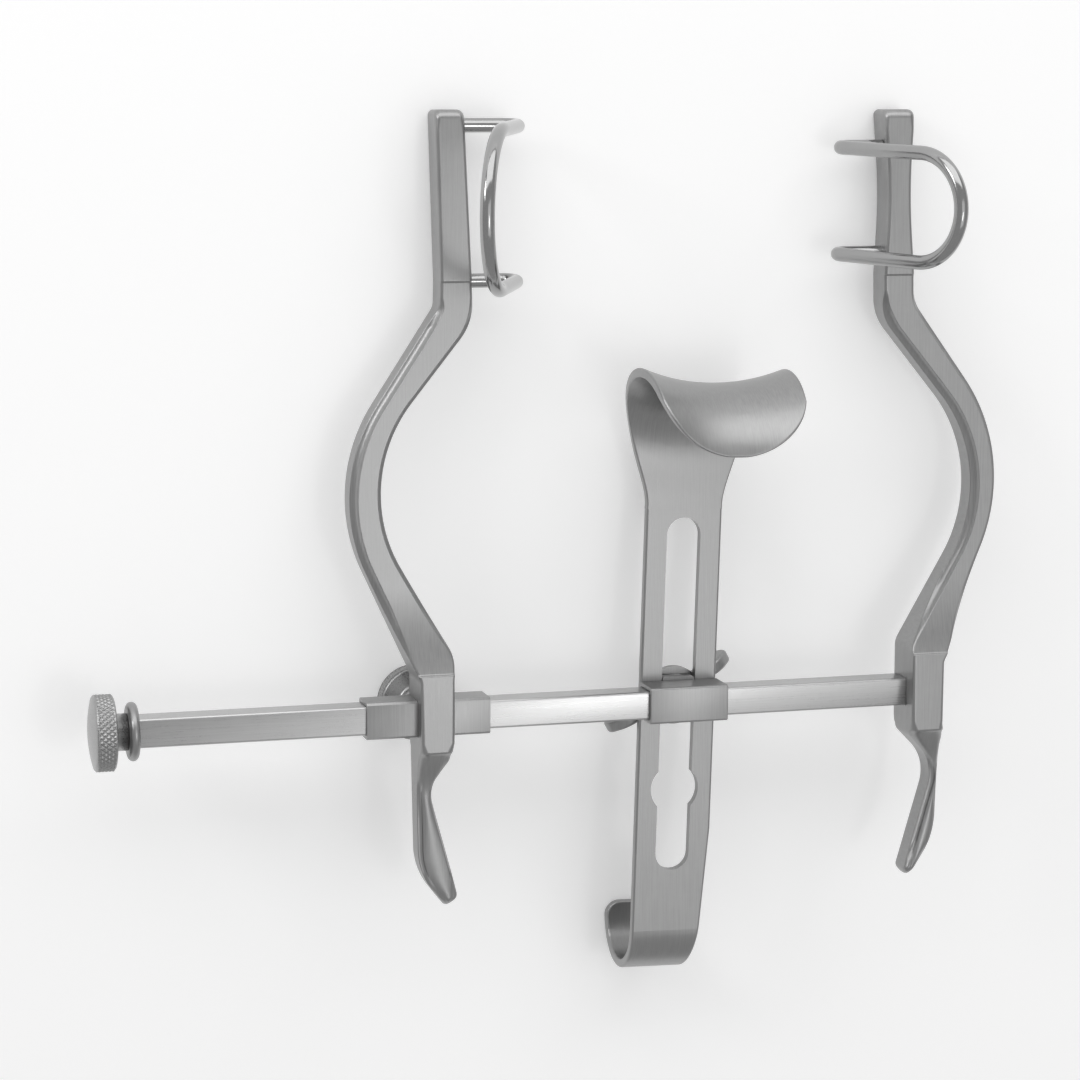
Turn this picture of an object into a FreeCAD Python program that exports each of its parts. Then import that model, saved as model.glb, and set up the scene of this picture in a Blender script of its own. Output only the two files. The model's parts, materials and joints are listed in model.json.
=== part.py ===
import FreeCAD, Part
import math
import os

V = FreeCAD.Vector
os.makedirs("parts", exist_ok=True)
doc = FreeCAD.newDocument("retractor")

# Driving sizes in millimetres and degrees. The working frame lies along the bar:
# x along the bar towards the fixed arm, y towards the side blades, z towards the wound side.
SIZES = [
    ("bar_height", 9.2, "square crossbar, side along y"),
    ("bar_depth", 9.2, "square crossbar, side along z"),
    ("bar_left", -129.0, "left end of the bar"),
    ("bar_seat", 5.2, "how far the bar runs into the fixed block, past its centre"),
    ("bar_bevel", 0.5, "bevel on the bar's long edges"),
    ("slide_gap", 0.1, "running gap between the bar and what slides on it"),
    ("stud_radius", 3.0, "turned stud at the bar's left end"),
    ("screw_gap", 0.05, "radial gap between a screw and its bore"),
    ("collar_radius", 9.2, "end stop collar"),
    ("collar_width", 3.2, "end stop collar"),
    ("knob_radius", 12.0, "knurled disc of both knobs"),
    ("knob_width", 5.2, "knurled band of both knobs"),
    ("knob_dome", 2.6, "height of the domed cap"),
    ("knob_shoulder", 0.7, "bevel on both rims of the knurled band"),
    ("neck_radius", 5.8, "neck under both knurled discs"),
    ("neck_bevel", 0.8, "bevel between the neck and the disc"),
    ("end_neck", 4.0, "length of the end knob's neck"),
    ("arm_front", 4.5, "front face of both arms above the bar's axis"),
    ("arm_back", -6.9, "back face of both arms"),
    ("arm_round", 2.4, "rounding along the bowed part of both arms"),
    ("block_front", 10.6, "front face of both blocks"),
    ("block_width", 11.0, "block width along the bar"),
    ("left_centre", -36.0, "sliding arm's block centre"),
    ("right_centre", 129.4, "fixed arm's block centre"),
    ("left_block_top", 14.3, "sliding block above the bar's axis"),
    ("left_block_foot", -10.5, "sliding block below the bar's axis"),
    ("right_block_top", 13.1, "fixed block above the bar's axis"),
    ("right_block_foot", -12.4, "fixed block below the bar's axis"),
    ("arm_root", 3.0, "how deep both arms run into their block"),
    ("block_bevel", 0.5, "bevel round the front face of both blocks"),
    ("grip_step", 0.8, "step from the arm's back to the finger grip's back"),
    ("grip_root", 2.8, "how deep both finger grips run into their block"),
    ("pad_top", 190.0, "top of both arms' pads above the bar's axis"),
    ("pad_foot", 137.0, "level where the pads meet the bowed arms"),
    ("pad_taper", 1.6, "how much each side of a pad narrows at its top"),
    ("pad_taper_height", 4.0, "height of that narrowing"),
    ("pad_bevel", 3.0, "bevel on the pads' top edge"),
    ("waist_radius", 200.0, "hollow sides of the fixed arm's pad"),
    ("sleeve_wall", 1.15, "wall of the sliding sleeve"),
    ("sleeve_bevel", 0.7, "bevel on the sleeve's long edges"),
    ("sleeve_left", -57.8, "left end of the sleeve"),
    ("sleeve_length", 39.9, "length of the sleeve"),
    ("screw_radius", 3.0, "thumb screw shank"),
    ("boss_radius", 6.4, "threaded boss behind the sliding block"),
    ("boss_length", 6.0, "threaded boss behind the sliding block"),
    ("boss_bevel", 0.6, "bevel on the boss's free rim"),
    ("thumb_travel", 1.9, "room between the boss and the thumb screw's neck"),
    ("thumb_face", -18.6, "front face of the thumb screw's knurled disc"),
    ("shoe_thick", 1.1, "pressure shoe at the tip of the thumb screw"),
    ("wire_radius", 2.25, "wire of both side loops"),
    ("wire_bend", 4.2, "bend at the loops' inner turn"),
    ("wire_level", -0.6, "height at which the wire enters the arm"),
    ("loop_depth", 50.0, "depth of the side loops"),
    ("left_wire_drop", 4.9, "left loop's upper leg below the top of its pad"),
    ("left_wire_rise", 0.0, "left loop's lower leg above the foot of its pad"),
    ("right_wire_drop", 12.0, "right loop's upper leg below the top of its pad"),
    ("right_wire_rise", 7.0, "right loop's lower leg above the foot of its pad"),
    ("loop_tilt", 2.3, "degrees both loops hang towards the bar"),
    ("left_loop_turn", 27.4, "left loop's inner turn, inwards from the block centre"),
    ("right_loop_turn", 30.8, "right loop's inner turn, inwards from the block centre"),
    ("wire_root", 2.5, "how deep the wires run into the pad"),
    ("left_loop_out", 3.7, "left loop's far end, inwards from the block centre"),
    ("right_loop_out", 6.5, "right loop's far end, inwards from the block centre"),
    ("clip_centre", 48.3, "middle of the clip along the bar"),
    ("clip_length", 26.2, "length of the clip along the bar"),
    ("clip_wall", 1.2, "top, bottom and back wall of the clip"),
    ("clip_front", 1.65, "front plate of the clip"),
    ("clip_bevel", 0.5, "bevel on the clip's long edges"),
    ("clamp_radius", 2.5, "clamp screw"),
    ("clamp_end", -19.2, "free end of the clamp screw"),
    ("blade_lean", 1.8, "degrees the centre blade leans in its clip"),
    ("blade_width", 25.7, "centre blade's shaft"),
    ("blade_thick", 3.0, "centre blade's strip"),
    ("blade_gap", 0.1, "gap between the clip's back and the blade"),
    ("blade_round", 0.8, "rounding on the centre blade's long edges"),
    ("slot_width", 11.4, "slot in the centre blade"),
    ("slot_top", 59.2, "upper end of the slot"),
    ("slot_foot", -57.6, "lower end of the slot"),
    ("key_level", -30.4, "centre of the slot's round opening"),
    ("key_radius", 8.1, "radius of the slot's round opening"),
    ("guide_width", 10.8, "guide block in the slot"),
    ("guide_height", 14.0, "guide block in the slot"),
    ("guide_bevel", 0.5, "bevelled corners of the guide block"),
    ("hook_start", -78.0, "level where the hook begins to bend"),
    ("hook_radius", 14.5, "mid radius of the hook"),
    ("hook_return", 2.6, "straight end of the hook's return leg"),
    ("hook_corner", 5.0, "rounded corners of the hook's end"),
    ("taper_start", -44.0, "level where the strip begins to narrow"),
    ("taper_knee", 2.4, "how much it has narrowed at the hook's start"),
    ("taper_foot", 6.7, "how much it has narrowed below the hook"),
    ("taper_round", 60.0, "bend of the narrowing edge"),
    ("neck_level", 62.0, "level where the strip begins to widen"),
    ("neck_rise", 0.03, "slight dish of the strip at its neck"),
    ("flare_gain", 1.1, "how much wider each side is half way up the flare"),
    ("arch_level", 78.0, "level of the saddle arch's centre"),
    ("arch_radius", 25.5, "mid radius of the saddle arch"),
    ("lip_tip", 84.2, "lowest point of the saddle's front lip"),
    ("lip_radius", 24.5, "round edge of the saddle's front lip"),
    ("saddle_round", 0.5, "rounding on the saddle's edges"),
    ("washer_radius", 7.2, "clamp washer"),
    ("washer_thick", 1.3, "clamp washer"),
    ("nut_radius", 9.6, "hub of the wing nut"),
    ("nut_height", 7.4, "hub of the wing nut"),
    ("nut_rim", 2.2, "straight rim of the hub"),
    ("nut_taper", 2.1, "how much the hub narrows"),
    ("washer_bevel", 0.3, "bevel on both rims of the washer"),
    ("wing_span", 49.0, "tip to tip across the wings"),
    ("wing_thick", 4.2, "thickness of the wings"),
    ("wing_round", 1.1, "rounding of the wings' edges"),
    ("wing_turn", 28.5, "degrees the wings stand from the bar"),
    ("rest_across", -5.2, "shift along x that centres the box over the origin"),
    ("rest_along", -46.3, "shift along y that centres the box over the origin"),
]

sheet = doc.addObject("Spreadsheet::Sheet", "sizes")
for rowNumber, (alias, number, meaning) in enumerate(SIZES, start=1):
    sheet.set("A%d" % rowNumber, meaning)
    sheet.set("B%d" % rowNumber, str(number))
    sheet.setAlias("B%d" % rowNumber, alias)
doc.recompute()
size = {alias: float(number) for alias, number, meaning in SIZES}

THROUGH = 400.0  # longer than anything that a cut goes through
NEAR = 0.5  # an edge whose middle is this close to a level or side is taken to lie on it
LIP_SPREAD = 85.0  # degrees of the lip's arc to either side, past the saddle's side edges


def clipBack():
    return -(size["bar_depth"] / 2 + size["slide_gap"] + size["clip_wall"])


def bladeFront():
    return clipBack() - size["blade_gap"]


def restPlacement():
    # The retractor lies on its back: the ends of both pads and of the hook touch the table.
    hookBack = bladeFront() - size["blade_thick"] - 2 * size["hook_radius"]
    hookEnd = size["hook_start"] + size["hook_return"]
    lean = math.atan2(size["arm_back"] - hookBack, size["pad_top"] - hookEnd)
    height = size["pad_top"] * math.sin(lean) - size["arm_back"] * math.cos(lean)
    shift = V(size["rest_across"], size["rest_along"], height)
    return FreeCAD.Placement(shift, FreeCAD.Rotation(V(1, 0, 0), -math.degrees(lean)))


REST = restPlacement()


def atRest(offset=V(0, 0, 0), axis=V(0, 0, 1), angle=0.0):
    """Placement of a piece drawn at an offset in the bar's frame."""
    return REST.multiply(FreeCAD.Placement(offset, FreeCAD.Rotation(axis, angle)))


def startBody(label, place=None):
    body = doc.addObject("PartDesign::Body", label)
    body.Label = label
    body.Placement = place if place is not None else atRest()
    return body


def originPlane(body, role):
    return [item for item in body.Origin.OriginFeatures if item.Role == role][0]


def sketchOn(body, name, role, offset=0.0):
    sketch = body.newObject("Sketcher::SketchObject", name)
    sketch.AttachmentSupport = [(originPlane(body, role), "")]
    sketch.MapMode = "FlatFace"
    sketch.AttachmentOffset = FreeCAD.Placement(V(0, 0, offset), FreeCAD.Rotation())
    return sketch


def drawLine(sketch, start, end):
    sketch.addGeometry(Part.LineSegment(V(start[0], start[1], 0), V(end[0], end[1], 0)), False)


def drawLines(sketch, points):
    """Straight lines from the first point to the last."""
    for start, end in zip(points[:-1], points[1:]):
        drawLine(sketch, start, end)


def drawRectangle(sketch, left, right, low, high):
    drawLines(sketch, [(left, low), (right, low), (right, high), (left, high), (left, low)])


def drawArc(sketch, start, middle, end):
    arc = Part.Arc(V(start[0], start[1], 0), V(middle[0], middle[1], 0), V(end[0], end[1], 0))
    sketch.addGeometry(arc, False)


def drawCircle(sketch, centre, radius):
    sketch.addGeometry(Part.Circle(V(centre[0], centre[1], 0), V(0, 0, 1), radius), False)


def drawRounded(sketch, corners):
    """Closed outline through corners (x, y, radius): straight runs and tangent arcs, sharp at radius 0."""
    count = len(corners)
    runs = []
    for index, (x, y, radius) in enumerate(corners):
        here = V(x, y, 0)
        if radius == 0:
            runs.append((here, here))
            continue
        before = V(corners[index - 1][0], corners[index - 1][1], 0)
        after = V(corners[(index + 1) % count][0], corners[(index + 1) % count][1], 0)
        back = (before - here).normalize()
        ahead = (after - here).normalize()
        half = back.getAngle(ahead) / 2
        reach = radius / math.tan(half)
        middle = here + (back + ahead).normalize() * (radius / math.sin(half) - radius)
        start = here + back * reach
        end = here + ahead * reach
        sketch.addGeometry(Part.Arc(start, middle, end), False)
        runs.append((start, end))
    for index in range(count):
        sketch.addGeometry(Part.LineSegment(runs[index][1], runs[(index + 1) % count][0]), False)


def padSketch(body, name, sketch, expression, symmetric=False):
    pad = body.newObject("PartDesign::Pad", name)
    pad.Profile = sketch
    pad.Midplane = symmetric
    pad.setExpression("Length", expression)
    sketch.Visibility = False
    doc.recompute()
    return pad


def pocketSketch(body, name, sketch, length, symmetric=True, reverse=False):
    pocket = body.newObject("PartDesign::Pocket", name)
    pocket.Profile = sketch
    pocket.Length = length
    pocket.Midplane = symmetric
    pocket.Reversed = reverse
    sketch.Visibility = False
    doc.recompute()
    return pocket


def pickEdges(feature, wanted):
    """Names of the feature's edges whose middle point and direction pass the test."""
    names = []
    for index, edge in enumerate(feature.Shape.Edges, start=1):
        if edge.Length < 0.05:
            continue
        half = (edge.FirstParameter + edge.LastParameter) / 2
        middle = edge.valueAt(half)
        tangent = edge.tangentAt(half)
        if wanted(middle, tangent, edge):
            names.append("Edge%d" % index)
    return names


def roundEdges(body, name, feature, wanted, expression):
    names = pickEdges(feature, wanted)
    fillet = body.newObject("PartDesign::Fillet", name)
    fillet.Base = (feature, names)
    fillet.setExpression("Radius", expression)
    doc.recompute()
    return fillet


def bevelEdges(body, name, feature, wanted, expression):
    names = pickEdges(feature, wanted)
    chamfer = body.newObject("PartDesign::Chamfer", name)
    chamfer.Base = (feature, names)
    chamfer.setExpression("Size", expression)
    doc.recompute()
    return chamfer


def turnSketch(body, name, sketch, axis):
    turn = body.newObject("PartDesign::Revolution", name)
    turn.Profile = sketch
    turn.ReferenceAxis = (sketch, [axis])
    turn.Angle = 360
    sketch.Visibility = False
    doc.recompute()
    return turn


def alongX(middle, tangent, edge):
    return abs(tangent.x) > 0.99


def makeCrossbar():
    # Square bar with bevelled long edges.
    body = startBody("crossbar")
    half = size["bar_height"] / 2
    deep = size["bar_depth"] / 2
    sketch = sketchOn(body, "bar_section", "YZ_Plane", size["bar_left"])
    drawRectangle(sketch, -half, half, -deep, deep)
    pad = padSketch(body, "bar_pad", sketch, "sizes.right_centre + sizes.bar_seat - sizes.bar_left")
    bevelEdges(body, "bar_edges", pad, alongX, "sizes.bar_bevel")
    return body


def makeEndStud():
    # Turned stud that carries the collar and the end knob.
    stud = doc.addObject("Part::Cylinder", "end_stud")
    stud.Label = "end_stud"
    stud.setExpression("Radius", "sizes.stud_radius")
    stud.setExpression("Height", "sizes.collar_width + sizes.end_neck + sizes.knob_width / 2")
    stud.Placement = atRest(V(size["bar_left"], 0, 0), V(0, 1, 0), -90)
    return stud


def makeCollar():
    # Ring with a full-round rim, tight on the stud against the bar's end.
    body = startBody("end_stop_collar")
    sketch = sketchOn(body, "collar_section", "XY_Plane")
    right = size["bar_left"]
    left = right - size["collar_width"]
    inner = size["stud_radius"]
    half = size["collar_width"] / 2
    rim = size["collar_radius"] - half
    drawLines(sketch, [(left, rim), (left, inner), (right, inner), (right, rim)])
    drawArc(sketch, (right, rim), (right - half, rim + half), (left, rim))
    turnSketch(body, "collar_turn", sketch, "H_Axis")
    return body


def knobProfile(sketch, neck, bore, depth):
    """Half section of a knurled knob: axis along the sketch's x, mouth of the bore at x = 0."""
    radius = size["knob_radius"]
    shoulder = size["knob_shoulder"]
    neckRadius = size["neck_radius"]
    flare = size["neck_bevel"]
    crown = size["knob_dome"]
    far = neck + size["knob_width"]
    high = radius - shoulder
    sphere = (high * high + crown * crown) / (2 * crown)
    middle = high / 2
    bulge = math.sqrt(sphere * sphere - middle * middle) - (sphere - crown)
    drawLines(sketch, [
        (0, bore), (0, neckRadius), (neck - flare, neckRadius), (neck, neckRadius + flare),
        (neck, high), (neck + shoulder, radius), (far - shoulder, radius), (far, high),
    ])
    drawArc(sketch, (far, high), (far + bulge, middle), (far + crown, 0))
    drawLines(sketch, [(far + crown, 0), (depth, 0), (depth, bore), (0, bore)])


def makeKnob(label, place, neck, bore, depth):
    body = startBody(label, place)
    sketch = sketchOn(body, label + "_section", "XY_Plane")
    knobProfile(sketch, neck, bore, depth)
    turnSketch(body, label + "_turn", sketch, "H_Axis")
    return body


def makeEndKnob():
    # Knurled end knob, its neck against the collar.
    mouth = size["bar_left"] - size["collar_width"] - size["slide_gap"]
    place = atRest(V(mouth, 0, 0), V(0, 0, 1), 180)
    bore = size["stud_radius"] + size["screw_gap"]
    depth = size["end_neck"] + size["knob_width"] / 2 + size["slide_gap"]
    return makeKnob("end_knob", place, size["end_neck"], bore, depth)


def makeThumbHead():
    # Knurled head of the thumb screw, axis along -z.
    backEnd = size["arm_back"] - size["boss_length"] - size["thumb_travel"]
    neck = backEnd - size["thumb_face"]
    place = atRest(V(size["left_centre"], 0, backEnd), V(0, 1, 0), 90)
    return makeKnob("thumbscrew_head", place, neck, size["screw_radius"], neck + size["knob_width"] / 2)


def shoeFoot():
    return -size["bar_depth"] / 2 - size["screw_gap"] - size["shoe_thick"]


def makeThumbShank():
    # Shank of the thumb screw, from the pressure shoe into the head.
    shank = doc.addObject("Part::Cylinder", "thumbscrew_shank")
    shank.Label = "thumbscrew_shank"
    shank.setExpression("Radius", "sizes.screw_radius")
    top = "-sizes.bar_depth / 2 - sizes.screw_gap - sizes.shoe_thick"
    shank.setExpression("Height", top + " - sizes.thumb_face + sizes.knob_width / 2")
    shank.Placement = atRest(V(size["left_centre"], 0, size["thumb_face"] - size["knob_width"] / 2))
    return shank


def makeShoe():
    # Disc at the tip of the thumb screw that bears on the bar.
    shoe = doc.addObject("Part::Cylinder", "pressure_shoe")
    shoe.Label = "pressure_shoe"
    shoe.setExpression("Radius", "sizes.screw_radius")
    shoe.setExpression("Height", "sizes.shoe_thick")
    shoe.Placement = atRest(V(size["left_centre"], 0, shoeFoot()))
    return shoe


# Outlines of the two arms as corners: first number outwards from the block's centre line,
# third the corner's radius. The second number of a bow corner is its share of the way from
# the block's top to the pad's foot, that of a grip corner its distance below the block's
# foot. The two arms of the photograph differ a little, so each has its own outline.
LEFT_ARM = {
    "pad_outer": (-1.4, -2.9),
    "pad_inner": (-10.8, -13.1),
    "waist": 0,
    "bow_outer": [(-2.7, 0.935, 5.0), (33.5, 0.484, 54.3)],
    "bow_inner": [(-13.6, 0.896, 17.9), (25.6, 0.496, 50.9), (-6.1, 0.046, 13.4)],
    "grip_outer": [(4.7, 40.2, 33.7), (-4.4, 52.1, 1.2)],
    "grip_inner": [(-4.8, 3.4, 3.8), (1.5, 13.0, 10.0), (-8.1, 48.5, 2.5)],
}
RIGHT_ARM = {
    "pad_outer": (-5.4, -4.9),
    "pad_inner": (-16.2, -15.3),
    "waist": 1.7,
    "bow_outer": [(-4.8, 0.932, 28.0), (32.9, 0.516, 57.2), (8.6, 0.031, 9.8)],
    "bow_inner": [(-15.0, 0.889, 16.0), (27.1, 0.477, 50.5), (-5.5, 0.021, 9.5)],
    "grip_outer": [(6.9, 2.6, 8.0), (5.9, 37.7, 30.2), (-2.9, 51.2, 1.2)],
    "grip_inner": [(-5.2, 1.4, 3.5), (5.9, 12.9, 14.3), (-4.5, 48.6, 2.2)],
}


def mirrored(corners, side, centre):
    return [(centre + side * out, up, radius) for out, up, radius in corners]


def padCorners(arm):
    """Flat pad at an arm's end: tapered at its top, its sides hollow where the arm has a waist."""
    top = size["pad_top"]
    shoulder = top - size["pad_taper_height"]
    foot = size["pad_foot"]
    middle = (shoulder + foot) / 2
    taper = size["pad_taper"]
    outerTop, outerFoot = arm["pad_outer"]
    innerTop, innerFoot = arm["pad_inner"]
    corners = [(outerTop - taper, top, 0), (outerTop, shoulder, 0)]
    if arm["waist"]:
        corners.append(((outerTop + outerFoot) / 2 - arm["waist"], middle, size["waist_radius"]))
    corners += [(outerFoot, foot, 0), (innerFoot, foot, 0)]
    if arm["waist"]:
        corners.append(((innerTop + innerFoot) / 2 + arm["waist"], middle, size["waist_radius"]))
    corners += [(innerTop, shoulder, 0), (innerTop + taper, top, 0)]
    return corners


def bowCorners(arm, blockTop):
    """Bowed arm from inside the pad down into the block."""
    half = size["block_width"] / 2
    root = blockTop - size["arm_root"]
    above = size["pad_foot"] + size["arm_root"]
    length = size["pad_foot"] - blockTop

    def levels(side):
        return [(out, blockTop + share * length, radius) for out, share, radius in side]

    outer = [(arm["pad_outer"][1], above, 0)] + levels(arm["bow_outer"]) + [(half, root, 0)]
    inner = [(arm["pad_inner"][1], above, 0)] + levels(arm["bow_inner"]) + [(-half, root, 0)]
    return outer + list(reversed(inner))


def gripCorners(arm, blockFoot):
    """Finger grip from inside the block down to its rounded tip."""
    half = size["block_width"] / 2
    root = blockFoot + size["grip_root"]

    def levels(side):
        return [(out, blockFoot - below, radius) for out, below, radius in side]

    outer = [(half, root, 0)] + levels(arm["grip_outer"])
    inner = [(-half, root, 0)] + levels(arm["grip_inner"])
    return outer + list(reversed(inner))


def makeArm(label, arm, side, centre, top, foot, passage, screwHole):
    """One arm: pad, bowed arm, block and finger grip, with the passage for the bar or the sleeve."""
    body = startBody(label)
    back = size["arm_back"]
    outline = sketchOn(body, label + "_bow_outline", "XY_Plane", back)
    drawRounded(outline, mirrored(bowCorners(arm, top), side, centre))
    bow = padSketch(body, label + "_bow", outline, "sizes.arm_front - sizes.arm_back")

    def longEdge(middle, tangent, edge):
        return abs(tangent.z) < 0.5 and top < middle.y < size["pad_foot"]

    roundEdges(body, label + "_rounding", bow, longEdge, "sizes.arm_round")

    padOutline = sketchOn(body, label + "_pad_outline", "XY_Plane", back)
    drawRounded(padOutline, mirrored(padCorners(arm), side, centre))
    pad = padSketch(body, label + "_pad", padOutline, "sizes.arm_front - sizes.arm_back")

    def padTopEdge(middle, tangent, edge):
        return middle.y > size["pad_top"] - 0.01 and abs(middle.z - size["arm_front"]) < 0.01

    bevelEdges(body, label + "_pad_bevel", pad, padTopEdge, "sizes.pad_bevel")

    gripOutline = sketchOn(body, label + "_grip_outline", "XY_Plane", back + size["grip_step"])
    drawRounded(gripOutline, mirrored(gripCorners(arm, foot), side, centre))
    padSketch(body, label + "_grip", gripOutline, "sizes.arm_front - sizes.arm_back - sizes.grip_step")

    blockOutline = sketchOn(body, label + "_block_outline", "XY_Plane", back)
    half = size["block_width"] / 2
    drawRectangle(blockOutline, centre - half, centre + half, foot, top)
    block = padSketch(body, label + "_block", blockOutline, "sizes.block_front - sizes.arm_back")

    def blockFrontEdge(middle, tangent, edge):
        return abs(middle.z - size["block_front"]) < 0.01

    bevelEdges(body, label + "_block_bevel", block, blockFrontEdge, "sizes.block_bevel")

    through = sketchOn(body, label + "_passage_outline", "YZ_Plane", centre)
    drawRectangle(through, -passage[0], passage[0], -passage[1], passage[1])
    pocketSketch(body, label + "_passage", through, THROUGH / 4)
    if screwHole:
        hole = sketchOn(body, label + "_screw_outline", "XY_Plane", back)
        drawCircle(hole, (centre, 0), size["screw_radius"] + size["screw_gap"])
        pocketSketch(body, label + "_screw_hole", hole, 2 * (-back - size["bar_depth"] / 2))
    return body


def makeSleeve():
    # Square tube brazed into the sliding block, free on the bar.
    body = startBody("sliding_sleeve")
    innerY = size["bar_height"] / 2 + size["slide_gap"]
    innerZ = size["bar_depth"] / 2 + size["slide_gap"]
    outerY = innerY + size["sleeve_wall"]
    outerZ = innerZ + size["sleeve_wall"]
    sketch = sketchOn(body, "sleeve_section", "YZ_Plane", size["sleeve_left"])
    drawRectangle(sketch, -outerY, outerY, -outerZ, outerZ)
    pad = padSketch(body, "sleeve_pad", sketch, "sizes.sleeve_length")
    bevelEdges(body, "sleeve_edges", pad, alongX, "sizes.sleeve_bevel")
    hollow = sketchOn(body, "sleeve_hollow", "YZ_Plane", size["sleeve_left"])
    drawRectangle(hollow, -innerY, innerY, -innerZ, innerZ)
    pocketSketch(body, "sleeve_bore", hollow, THROUGH)
    hole = sketchOn(body, "sleeve_hole_outline", "XY_Plane", -outerZ)
    drawCircle(hole, (size["left_centre"], 0), size["screw_radius"] + size["screw_gap"])
    pocketSketch(body, "sleeve_hole", hole, 2 * (size["sleeve_wall"] + size["slide_gap"]))
    return body


def makeBoss():
    # Threaded boss brazed to the back of the sliding block.
    body = startBody("screw_boss")
    sketch = sketchOn(body, "boss_ring", "XY_Plane", size["arm_back"] - size["boss_length"])
    centre = (size["left_centre"], 0)
    drawCircle(sketch, centre, size["boss_radius"])
    drawCircle(sketch, centre, size["screw_radius"] + size["screw_gap"])
    pad = padSketch(body, "boss_pad", sketch, "sizes.boss_length")
    low = size["arm_back"] - size["boss_length"]

    def rim(middle, tangent, edge):
        return abs(middle.z - low) < 0.01 and edge.Length > 6 * size["boss_radius"]

    bevelEdges(body, "boss_rim", pad, rim, "sizes.boss_bevel")
    return body


def loopPath(centre, side, high, low, turn, out, start):
    """Centre line of a wire loop: two legs leave the pad, turn forwards and meet in a round end."""
    level = size["wire_level"]
    depth = size["loop_depth"]
    bend = size["wire_bend"]
    spread = (high - low) / 2
    slope = math.atan2(depth - level, turn - out)
    cosine = math.cos(slope)
    sine = math.sin(slope)
    turned = math.pi - slope
    reach = bend * math.tan(turned / 2)
    corner = turn + reach - bend

    def along(run):
        return corner - run * cosine, level + run * sine

    def at(place, up):
        return V(centre - side * place[0], up, place[1])

    begin = (start, level)
    bendStart = (corner - reach, level)
    bendMiddle = (bendStart[0] + bend * math.sin(turned / 2), level + bend - bend * math.cos(turned / 2))
    bendEnd = along(reach)
    full = (depth - level) / sine
    roundStart = along(full - spread)
    roundMiddle = along(full)

    def leg(up):
        return [
            Part.LineSegment(at(begin, up), at(bendStart, up)).toShape(),
            Part.Arc(at(bendStart, up), at(bendMiddle, up), at(bendEnd, up)).toShape(),
            Part.LineSegment(at(bendEnd, up), at(roundStart, up)).toShape(),
        ]

    tip = at(roundMiddle, (high + low) / 2)
    roundEnd = Part.Arc(at(roundStart, high), tip, at(roundStart, low)).toShape()
    return Part.Wire(leg(high) + [roundEnd] + list(reversed(leg(low))))


def makeLoop(label, arm, outline, centre, side, high, low, turn, out):
    """Wire loop swept along its centre line, tilted a little, ending flush on the pad's inner face."""
    start = -max(outline["pad_inner"]) - size["wire_root"]
    path = loopPath(centre, side, high, low, turn, out, start)
    level = size["wire_level"]
    end = V(centre - side * start, high, level)
    section = Part.Face(Part.Wire(Part.Circle(end, V(1, 0, 0), size["wire_radius"]).toShape()))
    swept = path.makePipe(section)
    swept.rotate(V(0, (high + low) / 2, level), V(1, 0, 0), size["loop_tilt"])
    armShape = arm.Shape.copy()
    armShape.Placement = REST.inverse().multiply(armShape.Placement)
    trimmed = swept.cut(armShape)
    loop = doc.addObject("Part::Feature", label)
    loop.Label = label
    loop.Shape = max(trimmed.Solids, key=lambda solid: solid.Volume)
    loop.Placement = atRest()
    return loop


def makeClip():
    # Rectangular sleeve of the centre blade, with the plain front plate.
    body = startBody("blade_clip")
    inY = size["bar_height"] / 2 + size["slide_gap"]
    inZ = size["bar_depth"] / 2 + size["slide_gap"]
    outY = inY + size["clip_wall"]
    back = -(inZ + size["clip_wall"])
    front = inZ + size["clip_front"]
    left = size["clip_centre"] - size["clip_length"] / 2
    sketch = sketchOn(body, "clip_section", "YZ_Plane", left)
    drawRectangle(sketch, -outY, outY, back, front)
    pad = padSketch(body, "clip_pad", sketch, "sizes.clip_length")
    bevelEdges(body, "clip_edges", pad, alongX, "sizes.clip_bevel")
    hollow = sketchOn(body, "clip_hollow", "YZ_Plane", left)
    drawRectangle(hollow, -inY, inY, -inZ, inZ)
    pocketSketch(body, "clip_bore", hollow, THROUGH)
    hole = sketchOn(body, "clip_hole_outline", "XY_Plane", back)
    drawCircle(hole, (size["clip_centre"], 0), size["clamp_radius"])
    pocketSketch(body, "clip_hole", hole, 2 * (size["clip_wall"] + size["slide_gap"]))
    return body


def makeStud():
    # Clamp screw riveted in the clip's back wall.
    stud = doc.addObject("Part::Cylinder", "clamp_screw")
    stud.Label = "clamp_screw"
    stud.setExpression("Radius", "sizes.clamp_radius")
    stud.setExpression("Height", "-sizes.bar_depth / 2 - sizes.slide_gap - sizes.clamp_end")
    stud.Placement = atRest(V(size["clip_centre"], 0, size["clamp_end"]))
    return stud


def makeGuide():
    # Square block on the clamp screw that keeps the centre blade from turning.
    place = atRest(V(size["clip_centre"], 0, 0), V(0, 0, 1), -size["blade_lean"])
    body = startBody("guide_block", place)
    deep = size["blade_gap"] + size["blade_thick"] - size["screw_gap"]
    sketch = sketchOn(body, "guide_outline", "XY_Plane", clipBack() - deep)
    wide = size["guide_width"] / 2
    high = size["guide_height"] / 2
    drawRectangle(sketch, -wide, wide, -high, high)
    drawCircle(sketch, (0, 0), size["clamp_radius"])
    pad = padSketch(body, "guide_pad", sketch, "sizes.blade_gap + sizes.blade_thick - sizes.screw_gap")

    def corner(middle, tangent, edge):
        return abs(tangent.z) > 0.99 and abs(middle.x) > wide - NEAR

    bevelEdges(body, "guide_corners", pad, corner, "sizes.guide_bevel")
    return body


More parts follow.
